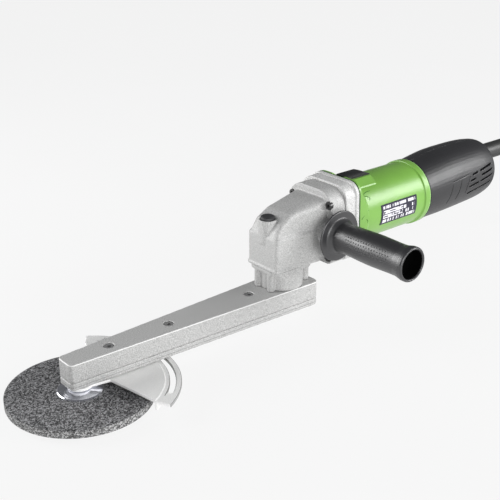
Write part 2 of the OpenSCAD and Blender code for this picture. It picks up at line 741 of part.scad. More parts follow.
module lock_button() color("#1c1c1c") translate([button_x, 0, 0]) {
    translate([0, 0, button_bottom]) cylinder(r = button_r, h = button_top - button_bottom - 1);
    translate([0, 0, button_top - 1]) cylinder(r1 = button_r, r2 = button_r - 1.2, h = 1, $fn = 48);
    translate([0, 0, pin_tip]) cylinder(r = pin_r, h = button_bottom - pin_tip + 1);
}

// A compression spring as one unbroken wire
spring_turns = 5;
spring_wire = 0.55;
module lock_spring() color("gainsboro") {
    mid = (spring_in + spring_out)/2;
    low = spring_seat + spring_wire + 0.05;
    high = button_bottom - spring_wire - 0.05;
    steps = 8*spring_turns;
    path = [for (i = [0 : steps]) let (a = i*45)
        [button_x + mid*cos(a), mid*sin(a), low + (high - low)*i/steps]];
    swept_tube(path, spring_wire, 6);
}

// Motor

// A slice across the raised pad under the switch
module pad_slice(x, drop) along_x(x, pad_top - drop) linear_extrude(0.1) polygon([
    [-pad_half_w, -13], [-pad_half_w, -7.7], [-knob_half_w - 2.5, 0], [knob_half_w + 2.5, 0],
    [pad_half_w, -7.7], [pad_half_w, -13]]);

module motor_housing() color("limegreen") difference() {
    union() {
        along_x(housing_x, motor_z) cylinder(r = motor_r, h = motor_l);
        hull() {
            along_x(housing_x, motor_z) linear_extrude(4) flange_plan(front_flange, $fn = 32);
            along_x(housing_x + 16, motor_z) cylinder(r = motor_r, h = 1, $fn = 64);
        }
        along_x(housing_end - 9, motor_z) cylinder(r = motor_r + 1.8, h = 9);
        hull() {
            pad_slice(pad_x + 2, 0);
            pad_slice(pad_x + pad_l - 5, 0);
            pad_slice(pad_x + pad_l, 4);
        }
    }
    difference() {
        along_x(housing_x - overshoot, motor_z) cylinder(r = inner_r, h = motor_l + 2*overshoot);
        for (a = [45 : 90 : 315]) along_x(core_x - 4, motor_z) rotate(a)
            translate([stator_r + seat_gap, -3, 0]) cube([6, 6, core_l + 8]);
        along_x(motor_rear_x - 2, motor_z) difference() {
            cylinder(r = motor_r, h = 10);
            for (a = [0 : 90 : 270]) rotate(a) translate([15, -11, -overshoot]) cube([14, 22, 20]);
        }
    }
    along_x(motor_rear_x, motor_z) cylinder(r = motor_rear_ring[1], h = 20);
    along_x(motor_rear_x - 5, motor_z) cylinder(r = motor_rear_ring[0] + 1.5, h = 20);
    translate([knob_x - switch_travel - 0.5, -knob_half_w - 0.4, pad_top])
        cube([knob_l + switch_travel + 20, 2*knob_half_w + 0.8, 20]);
    translate([knob_x + 10 - switch_travel, -stem_half_w - 0.6, motor_z + stator_r + 0.3])
        cube([24 + switch_travel, 2*stem_half_w + 1.2, 30]);
    translate([core_x, -stem_half_w - 0.6, motor_z + stator_r + 0.3])
        cube([housing_end - core_x + 5, 2*stem_half_w + 1.2, inner_r - stator_r - 0.7]);
}

module stator_core() color("slategray") along_x(core_x, motor_z) difference() {
    cylinder(r = stator_r, h = core_l);
    translate([0, 0, -overshoot]) cylinder(r = stator_bore, h = core_l + 2*overshoot);
    for (s = [-1, 1], t = [-1, 1]) translate([s*26, t*10, core_l/2])
        cube([6, 8, core_l + 2*overshoot], center = true);
}

module stator_coils() color("peru") along_x(core_x, motor_z) intersection() {
    translate([0, 0, -5]) cylinder(r = stator_r - 0.4, h = core_l + 10);
    for (t = [-1, 1]) {
        for (s = [-1, 1]) translate([s*26, t*10, core_l/2]) cube([5.9, 7.9, core_l + 8], center = true);
        for (z = [-4, core_l]) translate([0, t*14, z + 2]) difference() {
            cube([57.9, 15.9, 4], center = true);
            translate([0, -t*14, -5]) cylinder(r = stator_bore, h = 10);
        }
    }
}

module armature_shaft() color("lightgray") {
    along_x(spur_x - 1, motor_z) rotate(-90) linear_extrude(spur_w + 2)
        polygon(gear_points(spur_pinion_teeth, spur_module, 0.8, 1.2, 0.4));
    along_x(spur_x - 0.9, motor_z) cylinder(r = spur_module*spur_pinion_teeth/2 - 1.25, h = spur_w + 10);
    along_x(spur_x + spur_w + 3, motor_z) cylinder(r = shaft_r, h = comm_x + comm_l - spur_x - spur_w - 2);
    along_x(comm_x + comm_l, motor_z)
        cylinder(r = motor_rear_ring[0], h = motor_rear_x + motor_rear_ring[2] - comm_x - comm_l);
}

module armature_core() color("slategray") along_x(core_x, motor_z) linear_extrude(core_l) difference() {
    circle(core_r);
    circle(shaft_r + seat_gap);
    for (a = [0 : 30 : 330]) rotate(a) translate([core_r - 3, 0]) square([7, 2.4], center = true);
}

module armature_windings() color("peru") along_x(core_x, motor_z) {
    for (z = [-9, core_l]) translate([0, 0, z]) tube(core_r - 3, shaft_r + seat_gap, 9);
}

module commutator() color("orange") along_x(comm_x, motor_z) linear_extrude(comm_l - 2) difference() {
    circle(comm_r);
    circle(shaft_r + seat_gap);
    for (a = [0 : 15 : 345]) rotate(a) translate([comm_r, 0]) square([2, 0.6], center = true);
}

module cooling_fan() color("#333333") along_x(fan_x, motor_z) difference() {
    union() {
        cylinder(r = fan_r, h = 2);
        cylinder(r = 11, h = fan_w);
        for (a = [0 : 30 : 330]) rotate(a) translate([9, -0.8, 0]) cube([fan_r - 10, 1.6, fan_w - 1]);
    }
    translate([0, 0, -overshoot]) cylinder(r = shaft_r + seat_gap, h = fan_w + 2*overshoot);
}

module fan_baffle() color("#444444") difference() {
    along_x(baffle_x, motor_z) tube(inner_r - seat_gap, 24, 2);
    translate([baffle_x - overshoot, -stem_half_w - 0.5, motor_z + stator_r])
        cube([4, 2*stem_half_w + 1, 10]);
}

module motor_bearings() color("lightsteelblue") {
    along_x(motor_front_x, motor_z) bearing(motor_front_ring);
    along_x(motor_rear_x, motor_z) bearing(motor_rear_ring);
}

module brush_holders() color("goldenrod") for (s = [-1, 1])
    translate([comm_x + 3, s*(comm_r + 1.5), motor_z - brush_w/2 - 1.2]) difference() {
        translate([0, s < 0 ? -(inner_r - comm_r - 4) : 0, 0])
            cube([brush_w + 0.4, inner_r - comm_r - 4, brush_w + 2.4]);
        translate([1.2, -40, 1.2]) cube([brush_w - 2, 80, brush_w]);
    }

module carbon_brushes() color("#2b2b2b") for (s = [-1, 1])
    translate([comm_x + 4.3, s*(comm_r + 0.1) - (s < 0 ? brush_l : 0), motor_z - brush_w/2 + 0.1])
        cube([brush_w - 2.2, brush_l, brush_w - 0.2]);

// Switch

module switch_knob() color("#1c1c1c") {
    foot = pad_top + 0.05;
    along = [[0, 0], [knob_l, 0], [knob_l, 0.6], [knob_l - 11.5, knob_h - 2], [9, knob_h], [0, knob_h - 1.4]];
    intersection() {
        translate([knob_x, 0, foot]) rotate([90, 0, 0]) translate([0, 0, -knob_half_w])
            linear_extrude(2*knob_half_w) polygon(along);
        along_x(knob_x - 1, foot + knob_h - knob_crown_r) cylinder(r = knob_crown_r, h = knob_l + 2);
    }
    translate([knob_x + 14, -stem_half_w, motor_z + rod_low + rod_t])
        cube([10, 2*stem_half_w, foot - motor_z - rod_low - rod_t + 0.5]);
}

module switch_rod() color("#444444") translate([knob_x + 12, -stem_half_w, motor_z + rod_low])
    cube([rod_end - knob_x - 12, 2*stem_half_w, rod_t]);

module switch_box() color("#333333") difference() {
    translate([housing_end + 20, -12, motor_z + 8]) cube([38, 24, 26]);
    translate([housing_end + 19, -stem_half_w - 1, motor_z + rod_low - 1.5])
        cube([25, 2*stem_half_w + 2, 10]);
}

module control_module() color("#355e3b") {
    translate([housing_end + 22, -20, motor_z - board_drop]) cube([60, 40, 2]);
    for (i = [0 : 2]) translate([housing_end + 28 + 17*i, -12, motor_z - board_drop + 2])
        cube([12, 24, 10 + 3*i]);
}

// Rear handle

function handle_ring(s, inset, sides) = [for (k = [0 : sides - 1]) let (a = 360*k/sides, r = s[2] - inset)
    [s[0]*handle_stretch, r*cos(a), s[1] + r*sin(a)]];

// A closed solid through rings of points, with flat ends
module loft(rings) {
    n = len(rings[0]);
    points = [for (ring = rings) each ring];
    sides = [for (i = [0 : len(rings) - 2], k = [0 : n - 1]) let (a = i*n + k, b = i*n + (k + 1)%n)
        each [[a, a + n, b], [b, a + n, b + n]]];
    last = (len(rings) - 1)*n;
    polyhedron(points, concat(sides, [[for (k = [0 : n - 1]) k]], [[for (k = [n - 1 : -1 : 0]) last + k]]));
}

// The sections with more between them, on a smooth curve through all of them
function curve_point(a, b, c, d, t) =
    b + (c - a)*t/2 + (2*a - 5*b + 4*c - d)*t*t/2 + (3*b - a - 3*c + d)*t*t*t/2;
handle_last = len(handle_sections) - 1;
smooth_sections = concat(
    [for (i = [0 : handle_last - 1], k = [0 : handle_steps - 1]) curve_point(
        handle_sections[max(i - 1, 0)], handle_sections[i], handle_sections[i + 1],
        handle_sections[min(i + 2, handle_last)], k/handle_steps)],
    [handle_sections[handle_last]]);

module handle_form(inset) translate([housing_end, 0, motor_z])
    loft([for (s = smooth_sections) handle_ring(s, inset, handle_sides)]);

module handle_body() handle_form(0);

// Moulded lines on the handle's sides
module handle_grooves() difference() {
    translate([housing_end, 0, motor_z]) rotate([90, 0, 0]) for (line = handle_lines, i = [0 : len(line) - 2])
        translate([0, 0, -50]) linear_extrude(100) stroke(line[i], line[i + 1], groove_w);
    handle_form(groove_depth);
}

// A straight bar between two points
module stroke(a, b, w) {
    d = (b - a)/norm(b - a);
    n = [-d[1], d[0]]*w/2;
    polygon([a - n - d*w/3, b - n + d*w/3, b + n + d*w/3, a + n - d*w/3]);
}

module handle_hollow() translate([housing_end - 0.5, 0, motor_z])
    loft([for (i = [0 : len(handle_sections) - 3]) handle_ring(handle_sections[i], rear_wall, 48)]);

module boot_sleeve() along_x(boot_x - 6, boot_z) cylinder(r = boot_sleeve_r, h = 20);

module handle_shell() difference() {
    union() { handle_body(); boot_sleeve(); }
    difference() {
        handle_hollow();
        along_x(boot_x - 7, boot_z) cylinder(r = boot_sleeve_r, h = 60);
        for (p = handle_screw_places) translate([housing_end + p[0], 0, motor_z + p[1]]) rotate([90, 0, 0])
            translate([0, 0, -50]) cylinder(r = 5, h = 100);
        for (x = [24, 48]) translate([housing_end + x, -45, motor_z + 34.4]) cube([5, 90, 20]);
        for (x = [24, 76]) translate([housing_end + x, -45, motor_z - 60]) cube([4, 90, 60 - board_drop]);
        translate([boot_x - clamp_back - 2, -45, boot_z - 10]) cube([clamp_w + 4, 90, 10]);
    }
    along_x(boot_x - 8, boot_z) cylinder(r = 8, h = 20);
    along_x(boot_x - clamp_back - 5, boot_z) cylinder(r = cord_r + seat_gap, h = clamp_w + 10);
    clamp_places() translate([0, 0, -8]) cylinder(r = 1.75 + seat_gap, h = 20);
    along_x(boot_x, boot_z) cylinder(r = boot_r + seat_gap, h = 60);
    translate([housing_end - 1, -stem_half_w - 0.6, motor_z + rod_low - 0.7])
        cube([70, 2*stem_half_w + 1.2, rod_t + 1.4]);
    for (v = vents, s = [-1, 1]) translate([housing_end + 80*handle_stretch, 0, motor_z + v[2]])
        rotate([0, -vent_slope, 0]) translate([v[0] - 80, s*45 - 20, -vent_w/2])
            cube([v[1] - v[0], 40, vent_w]);
    handle_grooves();
}

module handle_screw_holes(extra) for (p = handle_screw_places)
    translate([housing_end + p[0], 0, motor_z + p[1]]) rotate([-90, 0, 0]) {
        translate([0, 0, -14]) cylinder(r = 1.75 + extra, h = 44);
        translate([0, 0, 26]) cylinder(r = 3.2 + 10*extra, h = 30);
    }

module rear_handle_left() color("#2a2a2a") difference() {
    intersection() {
        handle_shell();
        translate([housing_end - 10, -60, 0]) cube([300, 60, 300]);
    }
    handle_screw_holes(seat_gap);
}

module rear_handle_right() color("#2a2a2a") difference() {
    intersection() {
        handle_shell();
        translate([housing_end - 10, 0, 0]) cube([300, 60, 300]);
    }
    handle_screw_holes(seat_gap);
}

module rear_handle_screws() color("silver") for (p = handle_screw_places)
    translate([housing_end + p[0], 26, motor_z + p[1]]) rotate([-90, 0, 0]) socket_screw(1.75, 39, 3.2, 2.6);

module rating_plate() color("midnightblue") along_x(housing_x + 38, motor_z) intersection() {
    tube(motor_r + 0.5, motor_r + 0.05, 63);
    rotate(180) linear_extrude(63) polygon([[20, -11.5], [50, -11.5], [50, 13.5], [20, 13.5]]);
}

// Side handle

module side_handle_grip() color("#1c1c1c") translate([grip_x, -grip_start, grip_z]) rotate([90, 0, 0]) {
    l = grip_l;
    fr = grip_flange_r;
    rotate_extrude() polygon([
        [stud_r + seat_gap, 0], [handle_boss_r - 1, 0], [handle_boss_r - 1, 8], [fr - 1.2, 8.6], [fr, 9.6],
        [fr, 10.8], [fr - 1, 11.6], [fr - 8, 12], [grip_r + 1.8, 13.5], [grip_r - 0.7, 17],
        [grip_r - 1.2, 24], [grip_r - 0.9, 35], [grip_r - 0.4, 48], [grip_r, 62], [grip_r, 70],
        [grip_r - 0.3, 81],
        [grip_r - 0.7, 94], [grip_r - 0.7, l - 15], [grip_r + 0.1, l - 11], [grip_ring_r - 0.5, l - 8],
        [grip_ring_r, l - 6], [grip_ring_r, l - 1.6], [grip_ring_r - 1.3, l], [grip_mouth_r, l],
        [grip_mouth_r - 1, l - 1.5], [grip_mouth_r - 1.6, l - grip_mouth_depth], [0, l - grip_mouth_depth],
        [0, stud_out], [stud_r + seat_gap, stud_out]]);
}

module side_handle_stud() color("lightgray") translate([grip_x, 0, grip_z]) rotate([90, 0, 0])
    translate([0, 0, handle_boss_y - stud_in + 2])
        cylinder(r = stud_r - seat_gap, h = stud_in + stud_out - 3);

// Cord

// A tube swept along points, with its ends square to the first and last steps
function unit(v) = v/norm(v);
function tangent(p, i) = i == 0 ? unit(p[1] - p[0]) : i == len(p) - 1 ? unit(p[i] - p[i - 1])
    : unit(unit(p[i + 1] - p[i]) + unit(p[i] - p[i - 1]));
function side_of(t) = abs(t[2]) > 0.9 ? unit(cross(t, [0, 1, 0])) : unit(cross(t, [0, 0, 1]));
function carried(p, i, u) = let (t = tangent(p, i)) unit(u - t*(u*t));
function frames(p, i = 0, u = undef) = i == len(p) ? []
    : let (v = is_undef(u) ? side_of(tangent(p, 0)) : carried(p, i, u)) concat([v], frames(p, i + 1, v));
module swept_tube(p, r, sides) {
    us = frames(p);
    points = [for (i = [0 : len(p) - 1]) let (t = tangent(p, i), u = us[i], v = cross(t, u))
        for (k = [0 : sides - 1]) let (a = 360*(k + 0.5)/sides) p[i] + r*(cos(a)*u + sin(a)*v)];
    last = (len(p) - 1)*sides;
    sides_of = [for (i = [0 : len(p) - 2], k = [0 : sides - 1])
        let (a = i*sides + k, b = i*sides + (k + 1)%sides)
        each [[a, b, a + sides], [b, b + sides, a + sides]]];
    ends = [for (k = [1 : sides - 2]) each [[0, k + 1, k], [last, last + k, last + k + 1]]];
    polyhedron(points, concat(sides_of, ends));
}

// The coil: loops that spiral in on the lower layer and out again on the upper one
coil_steps = 24;
function coil_radius(turn) = coil_in + coil_pitch*abs(coil_loops - turn);
function smooth(x) = let (c = min(1, max(0, x))) c*c*(3 - 2*c);
function coil_height(turn) = coil_low + coil_pitch*smooth(2*(turn - coil_loops) + 0.5);
function coil_point(turn) = let (r = coil_radius(turn), a = 180 + 360*turn)
    [coil_centre[0] + r*cos(a), coil_centre[1] + r*sin(a), coil_height(turn)];
coil_path = concat(
    [[coil_x, coil_centre[1] + cord_d, coil_low]],
    [for (i = [0 : coil_steps*coil_loops*coil_layers]) coil_point(i/coil_steps)],
    [[coil_x, coil_centre[1] - cord_d, coil_high]]);
coil_gaps = [for (i = [0 : len(coil_path) - 1], j = [i + coil_steps/2 : 1 : len(coil_path) - 1])
    norm(coil_path[i] - coil_path[j]) - cord_d];
echo(least_coil_gap = min(coil_gaps));
function path_length(p) = [
    for (i = 0, l = 0; i < len(p); l = l + (i < len(p) - 1 ? norm(p[i + 1] - p[i]) : 0), i = i + 1) l
    ][len(p) - 1];
echo(cord_length = path_length(route_down) + path_length(coil_path) + path_length(route_tail));

module power_cord() color("#222222") swept_tube(route_down, cord_r, ring_sides);
module cord_coil() color("#222222") swept_tube(coil_path, cord_r, 6);
module cord_tail() color("#222222") swept_tube(route_tail, cord_r, ring_sides);

// A strap round the coil's bundle, on the side away from the object
module coil_tie() color("#111111") {
    low = coil_in - cord_r + coil_pitch/2 - tie_gap;
    high = coil_out + cord_r - coil_pitch/2 + tie_gap;
    top = coil_high + cord_r + tie_gap;
    translate([coil_centre[0] + low - tie_t, coil_centre[1] - 5, 0]) difference() {
        cube([high - low + 2*tie_t, 10, top + tie_t]);
        translate([tie_t, -overshoot, tie_t]) cube([high - low, 12, top - tie_t]);
    }
}

module plug_body() color("#222222") translate(plug_at) rotate([90, 0, 0]) difference() {
    union() {
        rotate_extrude() polygon([[0, 0], [5.2, 0], [7.5, 16], [7.5, 20], [0, 20]]);
        translate([0, 0, 15]) linear_extrude(22) rounded_plan(22, 18, 7);
        translate([0, 0, plug_face - 12]) linear_extrude(12) rounded_plan(36, 26, 11);
    }
    for (s = [-1, 1]) translate([s*plug_pin_gap/2, 0, plug_face - 10])
        cylinder(r = plug_root_r + seat_gap, h = 20);
}

module plug_pins() color("gold") translate(plug_at) rotate([90, 0, 0])
    for (s = [-1, 1]) translate([s*plug_pin_gap/2, 0, plug_face]) {
        cylinder(r = plug_pin_r, h = plug_pin_l);
        translate([0, 0, -9.5]) cylinder(r = plug_root_r, h = 10);
    }

// The cord's end inside the tool, from the clamp to the boot's tip
module cord_lead() color("#222222") along_x(boot_x - clamp_back - 5, boot_z)
    cylinder(r = cord_r, h = clamp_back + 5 + boot_l - 0.2);

module cord_boot() color("#1c1c1c") along_x(boot_x, boot_z) difference() {
    rotate_extrude() polygon([
        [0, 0], [boot_r, 0], [boot_r, boot_l - 22], [cord_r + 4, boot_l - 10], [cord_r + 2.2, boot_l - 1],
        [cord_r + 1.4, boot_l], [0, boot_l]]);
    translate([0, 0, -overshoot]) cylinder(r = cord_r + seat_gap, h = boot_l + 2*overshoot);
}

module clamp_places() for (s = [-1, 1]) translate([boot_x - clamp_back + clamp_w/2, s*10, boot_z]) children();

module cord_clamp() color("#333333") difference() {
    translate([boot_x - clamp_back, -14, boot_z + 0.6]) cube([clamp_w, 28, clamp_top - 0.6]);
    along_x(boot_x - clamp_back - 5, boot_z) cylinder(r = cord_r + seat_gap, h = clamp_w + 10);
    clamp_places() cylinder(r = 1.75 + seat_gap, h = 20);
}

module cord_clamp_screws() color("silver") clamp_places() translate([0, 0, clamp_top])
    socket_screw(1.75, clamp_top + 7, 3.2, 2.4);

arm_upper_housing();
arm_lower_cover();
arm_screws();
collar();
collar_screws();
gear_head();
gear_case();
gear_case_screws();
motor_housing();
rear_handle_left();
rear_handle_right();
rear_handle_screws();
side_handle_grip();
side_handle_stud();
drive_belt();
wheel_bearings();
spindle_bearings();
pinion_bearings();
motor_bearings();
stator_core();
stator_coils();
fan_baffle();
brush_holders();
carbon_brushes();
switch_box();
control_module();
cord_clamp();
cord_clamp_screws();
rating_plate();
cord_lead();
cord_boot();
power_cord();
cord_coil();
cord_tail();
coil_tie();
plug_body();
plug_pins();
guard_clamp_screw();
wheel_spindle();
driven_pulley();
wheel_flange();
grinding_wheel();
wheel_nut();
drive_spindle();
drive_pulley();
bevel_wheel();
bevel_pinion_shaft();
spur_gear();
armature_shaft();
armature_core();
armature_windings();
commutator();
cooling_fan();
guard();
switch_knob();
switch_rod();
lock_button();
lock_spring();
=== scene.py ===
"""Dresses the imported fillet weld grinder: camera, cord, light, finishes and small moulded details.

Places are in the frame of the part: +X from the wheel towards the cord, +Z up. Lengths are in metres, except
where a name ends in _MM or a comment says millimetres.
"""
import json
import math

import bpy
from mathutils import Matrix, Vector


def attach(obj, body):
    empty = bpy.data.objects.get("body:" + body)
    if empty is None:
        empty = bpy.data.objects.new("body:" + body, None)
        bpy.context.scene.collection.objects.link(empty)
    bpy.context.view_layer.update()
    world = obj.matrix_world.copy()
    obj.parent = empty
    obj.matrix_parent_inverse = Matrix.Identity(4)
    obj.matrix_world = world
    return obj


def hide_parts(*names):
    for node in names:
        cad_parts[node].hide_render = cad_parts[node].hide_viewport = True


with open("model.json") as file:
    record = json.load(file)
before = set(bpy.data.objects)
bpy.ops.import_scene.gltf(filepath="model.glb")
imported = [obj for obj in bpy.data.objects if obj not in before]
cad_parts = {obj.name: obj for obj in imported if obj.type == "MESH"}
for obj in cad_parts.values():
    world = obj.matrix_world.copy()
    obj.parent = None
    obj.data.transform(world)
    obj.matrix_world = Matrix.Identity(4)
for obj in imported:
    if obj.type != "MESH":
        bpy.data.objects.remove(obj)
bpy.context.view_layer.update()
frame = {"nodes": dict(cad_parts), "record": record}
nodes = frame["nodes"]
MM = 0.001

# Camera: the photograph's viewing angle, found from the circles and edges of the object
LOOK_AT = Vector((0.2235, 0.0, 0.10285))
AZIMUTH = -40.45
ELEVATION = 22.87
DISTANCE = 1.05
LENS_MM = 68.4
SENSOR_MM = 36
CLIP_START = 0.05


def make_camera():
    a = math.radians(AZIMUTH)
    e = math.radians(ELEVATION)
    away = Vector((math.sin(a)*math.cos(e), -math.cos(a)*math.cos(e), math.sin(e)))
    data = bpy.data.cameras.new("camera")
    data.lens = LENS_MM
    data.sensor_width = SENSOR_MM
    data.clip_start = CLIP_START
    camera = bpy.data.objects.new("camera", data)
    camera.location = LOOK_AT + DISTANCE*away
    camera.rotation_euler = away.to_track_quat("Z", "Y").to_euler()
    bpy.context.collection.objects.link(camera)
    bpy.context.scene.camera = camera


make_camera()

# Cord: the route's points and the coil's sizes are those of the part's source
CORD_D = 8*MM
CORD_ROUNDNESS = 6
COIL_GAP = 0.8*MM
COIL_PITCH = CORD_D + COIL_GAP
COIL_LOOPS = 4
COIL_LAYERS = 2
COIL_IN = 30.5*MM
COIL_CENTRE = Vector((848.5*MM, -44*MM, 0))
COIL_CLEARANCE = 1.2*MM
COIL_LOW = CORD_D/2 + COIL_CLEARANCE
COIL_STEPS = 48
CLIMB_TURNS = 0.5
ROUTE_DOWN_MM = [
    (708, 0, 133.2), (717, 0, 133.2), (729, 0, 130), (740, 0, 123), (749, 0, 112), (755, 0, 99),
    (759, 0, 85), (761, -1, 70), (763, -2, 55), (765, -4, 40), (768, -7, 27), (774, -12, 16),
    (780, -19, 9), (782.8, -28, 5.2), (782.8, -36, 5.2)]
ROUTE_TAIL_MM = [
    (782.8, -52, 14), (782.8, -62, 14), (781, -74, 13), (778, -87, 12), (775, -100, 12), (773, -112, 13),
    (772, -122, 13), (772, -130, 13)]
SMOOTH_STEPS = 4


def smoothed(points):
    """The points of a curve that passes through all of the given ones."""
    ends = [2*points[0] - points[1]] + points + [2*points[-1] - points[-2]]
    result = []
    for p0, p1, p2, p3 in zip(ends, ends[1:], ends[2:], ends[3:]):
        bend = 2*p0 - 5*p1 + 4*p2 - p3
        twist = 3*p1 - p0 - 3*p2 + p3
        for i in range(SMOOTH_STEPS):
            t = i/SMOOTH_STEPS
            result.append(0.5*(2*p1 + (p2 - p0)*t + bend*t*t + twist*t**3))
    return result + [points[-1]]


def coil_point(turn):
    """The coil's point after so many turns.

    It winds inwards in the lower layer, climbs in the innermost half turn and winds outwards on top.
    """
    radius = COIL_IN + COIL_PITCH*abs(COIL_LOOPS - turn)
    rise = min(1, max(0, (turn - COIL_LOOPS)/CLIMB_TURNS + 0.5))
    height = COIL_LOW + COIL_PITCH*rise*rise*(3 - 2*rise)
    a = math.pi + 2*math.pi*turn
    return COIL_CENTRE + Vector((radius*math.cos(a), radius*math.sin(a), height))


def new_curve(name, points, radius):
    """A round cord. Its points hold the radius, so that Blender's bounds of the curve are true."""
    data = bpy.data.curves.new(name, "CURVE")
    data.dimensions = "3D"
    data.bevel_depth = 1
    data.bevel_resolution = CORD_ROUNDNESS
    data.use_fill_caps = True
    spline = data.splines.new("POLY")
    spline.points.add(len(points) - 1)
    for target, point in zip(spline.points, points):
        target.co = (*point, 1)
        target.radius = radius
    spline.use_smooth = True
    curve = bpy.data.objects.new(name, data)
    bpy.context.collection.objects.link(curve)
    return curve


def make_cord():
    down = smoothed([MM*Vector(p) for p in ROUTE_DOWN_MM])
    turns = [coil_point(i/COIL_STEPS) for i in range(COIL_STEPS*COIL_LOOPS*COIL_LAYERS + 1)]
    tail = smoothed([MM*Vector(p) for p in ROUTE_TAIL_MM])
    points = down + turns + tail
    cord = new_curve("mains_cord", points, CORD_D/2)
    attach(cord, "tool_body")
    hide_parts("power_cord", "cord_coil", "cord_tail")
    return cord


mains_cord = make_cord()


# Materials
def scaled(colour, factor):
    return tuple(min(1, factor*c) for c in colour)


class Finish:
    """A material's node tree, with short calls for the few kinds of node that it needs."""

    def __init__(self, name, **sockets):
        self.material = bpy.data.materials.new(name)
        self.material.use_nodes = True
        self.tree = self.material.node_tree
        self.shader = self.tree.nodes["Principled BSDF"]
        self.coordinates = self.tree.nodes.new("ShaderNodeTexCoord")
        self.place = self.coordinates.outputs["Object"]
        for socket, value in sockets.items():
            self.shader.inputs[socket.replace("_", " ")].default_value = value

    def add(self, kind, inputs=(), **settings):
        node = self.tree.nodes.new(kind)
        for key, value in settings.items():
            setattr(node, key, value)
        for key, value in dict(inputs).items():
            if isinstance(value, bpy.types.NodeSocket):
                self.tree.links.new(value, node.inputs[key])
            else:
                node.inputs[key].default_value = value
        return node

    def noise(self, scale, detail=3):
        node = self.add("ShaderNodeTexNoise", {"Vector": self.place, "Scale": scale, "Detail": detail})
        return node.outputs["Fac"]

    def ramp(self, value, stops):
        """A colour for each value, through stops of (value, colour)."""
        node = self.add("ShaderNodeValToRGB", {"Fac": value})
        elements = node.color_ramp.elements
        while len(elements) < len(stops):
            elements.new(0.5)
        for element, (position, colour) in zip(elements, stops):
            element.position = position
            element.color = (*colour, 1)
        return node.outputs["Color"]

    def clouds(self, colour, scale, detail, dark, light, start=0.3, end=0.7):
        """The colour in soft clouds, from a darker share of it to a lighter one."""
        stops = [(start, scaled(colour, dark)), (end, scaled(colour, light))]
        return self.ramp(self.noise(scale, detail), stops)

    def maths(self, operation, a, b=0.0):
        return self.add("ShaderNodeMath", {0: a, 1: b}, operation=operation).outputs["Value"]

    def axis(self, name, place=None):
        return self.add("ShaderNodeSeparateXYZ", {"Vector": place or self.place}).outputs[name]

    def between(self, value, low, high):
        """1 where the value lies between two limits, else 0."""
        above = self.maths("GREATER_THAN", value, low)
        below = self.maths("LESS_THAN", value, high)
        return self.maths("MULTIPLY", above, below)

    def distance(self, axes, centre):
        """Distance from a line along the axis that isn't named."""
        squares = []
        for name, middle in zip(axes, centre):
            apart = self.maths("ABSOLUTE", self.maths("SUBTRACT", self.axis(name), middle))
            squares.append(self.maths("POWER", apart, 2.0))
        return self.maths("SQRT", self.maths("ADD", *squares))

    def over(self, below, above, mask):
        """The lower colour with another laid over it where the mask is 1."""
        node = self.add("ShaderNodeMix", {0: mask, 6: below}, data_type="RGBA")
        if isinstance(above, bpy.types.NodeSocket):
            self.tree.links.new(above, node.inputs[7])
        else:
            node.inputs[7].default_value = (*above, 1)
        return node.outputs[2]

    def spread(self, value, low, high):
        node = self.add("ShaderNodeMapRange", {"Value": value, "To Min": low, "To Max": high})
        return node.outputs["Result"]

    def colour(self, socket):
        self.tree.links.new(socket, self.shader.inputs["Base Color"])

    def roughness(self, socket):
        self.tree.links.new(socket, self.shader.inputs["Roughness"])

    def bump(self, *layers):
        """Each layer is a height socket and its depth in metres."""
        normal = None
        for height, depth in layers:
            node = self.add("ShaderNodeBump", {"Height": height, "Distance": depth, "Strength": 1})
            if normal:
                self.tree.links.new(normal, node.inputs["Normal"])
            normal = node.outputs["Normal"]
        self.tree.links.new(normal, self.shader.inputs["Normal"])


def metal_finish(name, colour, metallic, rough, grain, depth, fine=900, speckle=0.0, seams_and_painted_light=()):
    """Cast or painted metal: a little cloudy, with a fine grain.

    Each band is a dark seam, painted shade or a painted highlight: (an axis, or the centre that a ring lies
    round, its two limits, its shade), and for a band that ends, the two limits of its Y.
    """
    f = Finish(name, Metallic=metallic)
    base = f.clouds(colour, scale=35, detail=4, dark=0.95, light=1.05)
    if speckle:
        dots = f.clouds(colour, scale=1100, detail=2, dark=1 - speckle, light=1 + speckle, start=0.35,
                        end=0.65)
        base = f.over(base, dots, 0.7)
    for axis, low, high, shade, *ends in seams_and_painted_light:
        across = f.axis(axis) if isinstance(axis, str) else f.distance("XY", axis)
        mask = f.between(across, low, high)
        if ends:
            mask = f.maths("MULTIPLY", mask, f.between(f.axis("Y"), *ends))
        base = f.over(base, scaled(colour, shade), mask)
    f.colour(base)
    f.roughness(f.spread(f.noise(grain, 2), rough - 0.06, rough + 0.08))
    f.bump((f.noise(fine, 3), depth))
    return f.material


CAST = (0.46, 0.46, 0.455)


def cast_finish(name, *seams_and_painted_light, depth=0.00014, tone=1.0):
    """Raw cast metal, in a lighter or darker tone."""
    return metal_finish(name, scaled(CAST, tone), metallic=0.15, rough=0.54, grain=300, depth=depth, fine=650,
                        speckle=0.42, seams_and_painted_light=seams_and_painted_light)


def turned_finish(name, colour, rough):
    """Machined steel: a bright metal with a very fine grain."""
    f = Finish(name, Metallic=1.0)
    f.colour(f.clouds(colour, scale=60, detail=3, dark=0.9, light=1.08))
    f.roughness(f.spread(f.noise(500, 2), rough - 0.05, rough + 0.08))
    f.bump((f.noise(1800, 2), 0.00001))
    return f.material


def plastic_finish(name, colour, rough, depth, grain=1400, specular=0.5, coat=0.0, bands=()):
    """Moulded plastic with a fine grain; each band across X is (its two limits, its colour)."""
    f = Finish(name, Specular_IOR_Level=specular, Coat_Weight=coat, Coat_Roughness=0.3)
    base = f.clouds(colour, scale=25, detail=3, dark=0.92, light=1.08, end=0.75)
    for low, high, shade in bands:
        base = f.over(base, shade, f.between(f.axis("X"), low, high))
    f.colour(base)
    f.roughness(f.spread(f.noise(120, 4), rough - 0.05, rough + 0.07))
    f.bump((f.noise(grain, 2), depth))
    return f.material


